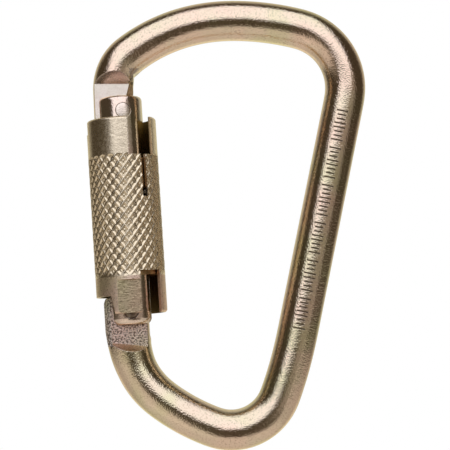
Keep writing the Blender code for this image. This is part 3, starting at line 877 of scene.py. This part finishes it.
dress(sleeve, "sleeve", ["lock_sleeve"], SLEEVE_METALS, 50.0)
paint(sleeve, sleeve_rule)


# ---------------------------------------------------------------- springs, bushes, plunger
def coil_point(r, angle, z):
    """A point at an angle from the front towards +X."""
    a = math.radians(angle)
    return Vector((r * math.sin(a), -r * math.cos(a), z))


def torsion_coil():
    """The sleeve's spring: a leg in the gate and six turns; its other leg rides on the sleeve."""
    low, high = 240.0, SLIT_ANGLE + 360.0 * 6
    start, end = SPRING_Z
    points = [coil_point(4.65, low, start), coil_point(5.87, low, start)]
    for i in range(241):
        share = i / 240
        angle = low + 8 + (high - low - 16) * share
        points.append(coil_point(6.57, angle, start + (end - start) * share))
    return points


coil = add_object("torsion_coil", tube(torsion_coil(), SPRING_WIRE_R, 12), GATE_FRAME)
dress(coil, "gate", ["sleeve_spring"], [SPRING], 70.0)
leg_path = [coil_point(r, SLIT_ANGLE, SPRING_Z[1]) for r in (7.0, 7.7, 8.35)]
leg = add_object("torsion_leg", tube(leg_path, SPRING_WIRE_R, 16), GATE_FRAME)
dress(leg, "sleeve", [], [SPRING], 70.0)
# The gate's coil stays above the plunger's highest point.
PUSH_Z = (15.85, 26.5)
PUSH_TURNS = 7
PUSH_POINTS = 210
helix = []
for i in range(PUSH_POINTS + 1):
    share = i / PUSH_POINTS
    z = PUSH_Z[0] + (PUSH_Z[1] - PUSH_Z[0]) * share
    helix.append(coil_point(1.45, 360.0 * PUSH_TURNS * share, z))
push = add_object("gate_coil", tube(helix, 0.24, 10), GATE_FRAME)
dress(push, "gate", ["gate_spring"], [SPRING], 70.0)
bush_low = [(5.8, 30.6), (6.1, 30.3), (7.05, 30.3), (7.35, 30.6)]
bush_high = [(7.35, 37.6), (7.05, 37.9), (6.1, 37.9), (5.8, 37.6)]
bush = add_object("guide_bush", turned(bush_low + bush_high, 80), GATE_FRAME)
dress(bush, "gate", ["upper_bush"], [BRONZE])
for name, mat in (("lower_bush", BRONZE), ("stop_pin", INNER), ("gate_plunger", INNER)):
    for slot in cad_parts[name].material_slots:
        slot.material = mat

# ---------------------------------------------------------------- stage
FLOOR_Z = -0.3
FLOOR_R = 1.6
bm = bmesh.new()
bmesh.ops.create_circle(bm, cap_ends=True, radius=FLOOR_R, segments=96)
bmesh.ops.translate(bm, vec=(0, 0, FLOOR_Z), verts=bm.verts[:])
mesh = bpy.data.meshes.new("floor")
bm.to_mesh(mesh)
bm.free()
floor = bpy.data.objects.new("floor", mesh)
bpy.context.scene.collection.objects.link(floor)
paper = bpy.data.materials.new("paper")
paper.use_nodes = True
pale = paper.node_tree.nodes["Principled BSDF"].inputs
pale["Base Color"].default_value = (0.9, 0.86, 0.79, 1)
pale["Roughness"].default_value = 0.9
pale["Emission Color"].default_value = (1, 1, 1, 1)
pale["Emission Strength"].default_value = 0.5
mesh.materials.append(paper)
# Mirror reflections of the floor come from the surroundings below.
floor.visible_glossy = False

ROOM = (0.060, 0.050, 0.034)


def studio():
    """Soft studio surroundings: one large softbox over the front, dim sides, a pale floor.

    Directions are an azimuth from the front towards +X and an elevation, in degrees.
    """
    world = bpy.data.worlds.new("studio")
    world.use_nodes = True
    nodes = world.node_tree.nodes
    links = world.node_tree.links
    coord = nodes.new("ShaderNodeTexCoord")

    def fade(direction, start, end):
        """1 where the angle from a direction is under end degrees, 0 past start degrees."""
        dot = nodes.new("ShaderNodeVectorMath")
        dot.operation = "DOT_PRODUCT"
        dot.inputs[1].default_value = direction
        links.new(coord.outputs["Generated"], dot.inputs[0])
        step = nodes.new("ShaderNodeMapRange")
        step.interpolation_type = "SMOOTHSTEP"
        step.inputs["From Min"].default_value = math.cos(math.radians(start))
        step.inputs["From Max"].default_value = math.cos(math.radians(end))
        links.new(dot.outputs["Value"], step.inputs["Value"])
        return step.outputs["Result"]

    def heading(azimuth, elevation):
        """The unit vector in a direction."""
        a, e = math.radians(azimuth), math.radians(elevation)
        return Vector((math.sin(a) * math.cos(e), -math.cos(a) * math.cos(e), math.sin(e)))

    def patch(azimuth, elevation, start, end):
        """A round soft light about a direction."""
        return fade(heading(azimuth, elevation), start, end)

    def both(a, b):
        """Overlap of two fades."""
        node = nodes.new("ShaderNodeMath")
        node.operation = "MULTIPLY"
        links.new(a, node.inputs[0])
        links.new(b, node.inputs[1])
        return node.outputs["Value"]

    def inverse(a):
        """1 minus a fade."""
        node = nodes.new("ShaderNodeMath")
        node.operation = "SUBTRACT"
        node.inputs[0].default_value = 1.0
        links.new(a, node.inputs[1])
        return node.outputs["Value"]

    def panel(azimuth, elevation, half_wide, half_high, soft, roll):
        """A rectangular softbox, as the overlap of four half-spaces, dimmer at its corners."""
        facing = heading(azimuth, elevation)
        level = Vector((math.cos(math.radians(azimuth)), math.sin(math.radians(azimuth)), 0))
        right = Matrix.Rotation(math.radians(roll), 3, facing) @ level
        up = facing.cross(right)
        result = fade(facing, 80, 32)
        for side, half in ((right, half_wide), (-right, half_wide), (up, half_high), (-up, half_high)):
            inward = facing * math.sin(math.radians(half)) - side * math.cos(math.radians(half))
            result = both(result, fade(inward, 90 + soft, 90 - soft))
        return result

    def add(total, source, colour):
        """Add a coloured light to what has been gathered, which starts as the dim room."""
        tinted = nodes.new("ShaderNodeVectorMath")
        tinted.operation = "SCALE"
        tinted.inputs[0].default_value = colour
        links.new(source, tinted.inputs["Scale"])
        join_up = nodes.new("ShaderNodeVectorMath")
        join_up.operation = "ADD"
        links.new(tinted.outputs["Vector"], join_up.inputs[0])
        if total is None:
            join_up.inputs[1].default_value = ROOM
        else:
            links.new(total, join_up.inputs[1])
        return join_up.outputs["Vector"]

    softbox = panel(-5.5, 44, 38.5, 39.5, soft=5.0, roll=13.0)
    floor_light = patch(0, -90, 83, 72)
    below = patch(0, -90, 54, 42)
    dim_spot = both(patch(14, -25, 36, 25), inverse(below))
    lights = [
        (softbox, (1.08, 1.16, 1.33)),
        (both(floor_light, inverse(dim_spot)), (0.41, 0.40, 0.38)),
        (below, (0.14, 0.14, 0.135)),
        # Weak light from low in front and from both sides.
        (patch(8, -28, 64, 35), (0.02, 0.018, 0.015)),
        (patch(38, -3, 28, 13), (0.20, 0.19, 0.18)),
        (patch(-50, -28, 36, 14), (0.15, 0.14, 0.13)),
        # The wall behind, seen in the edges of the bar.
        (patch(180, 13, 68, 12), (0.66, 0.67, 0.66)),
    ]
    total = None
    for source, colour in lights:
        total = add(total, source, colour)
    lit = nodes["Background"]
    links.new(total, lit.inputs["Color"])
    plain = nodes.new("ShaderNodeBackground")
    plain.inputs["Color"].default_value = (1, 1, 1, 1)
    ray = nodes.new("ShaderNodeLightPath")
    pick = nodes.new("ShaderNodeMixShader")
    links.new(ray.outputs["Is Camera Ray"], pick.inputs["Fac"])
    links.new(lit.outputs["Background"], pick.inputs[1])
    links.new(plain.outputs["Background"], pick.inputs[2])
    links.new(pick.outputs["Shader"], nodes["World Output"].inputs["Surface"])
    bpy.context.scene.world = world
    bpy.context.scene.view_settings.view_transform = "Standard"


studio()
